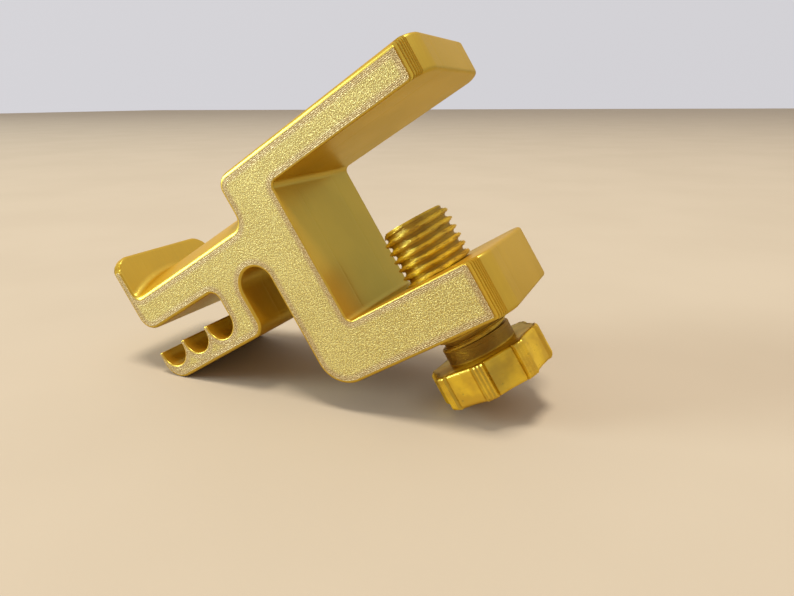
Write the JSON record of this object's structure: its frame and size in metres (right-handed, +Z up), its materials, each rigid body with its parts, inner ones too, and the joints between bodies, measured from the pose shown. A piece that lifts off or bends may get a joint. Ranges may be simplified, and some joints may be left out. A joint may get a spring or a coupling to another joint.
{
  "type": "desk clamp headphone hanger with cable comb",
  "caption": "C-shaped desk clamp with a hand screw, a lipped saddle arm that holds a headphone band and a notched comb that holds cables.",
  "frame": {"origin": "centre of the object's footprint, on the table that it lies on; it lies on the comb's outer edge and the knob's rim, as in the picture, not upright as it is used", "axes": "+Z up from the table, +Y across the frame's width, away from the face that was printed on the bed, +X from the arm's lip towards the clamp's mouth. The clamp screw's axis lies in the XZ plane and leans 31.56 degrees from +Z towards -X."},
  "size_m": [0.1344, 0.04, 0.0967],
  "materials": {
    "frame_plastic": "silk gold PLA filament, satin metallic sheen with fine layer lines",
    "screw_plastic": "silk gold PLA filament, satin metallic sheen with fine layer lines"
  },
  "bodies": {
    "frame": {"clamp_frame": "frame_plastic"},
    "screw_end": {"screw_tip": "screw_plastic"},
    "screw": {"clamp_screw": "screw_plastic"}
  },
  "joints": [
    {"name": "screw_travel", "type": "slide", "parent": "frame", "child": "screw_end", "axis": [-0.5234, 0, 0.8521], "range_m": [-0.0156, 0.0044]},
    {"name": "screw_turn", "type": "hinge", "parent": "screw_end", "child": "screw", "pos_m": [0.03766, 0, 0.03424], "axis": [-0.5234, 0, 0.8521], "range_deg": [-2246.4, 633.6]}
  ],
  "couplings": [
    {"joint": "screw_travel", "follows": "screw_turn", "m_per_rad": 0.00039789}
  ]
}
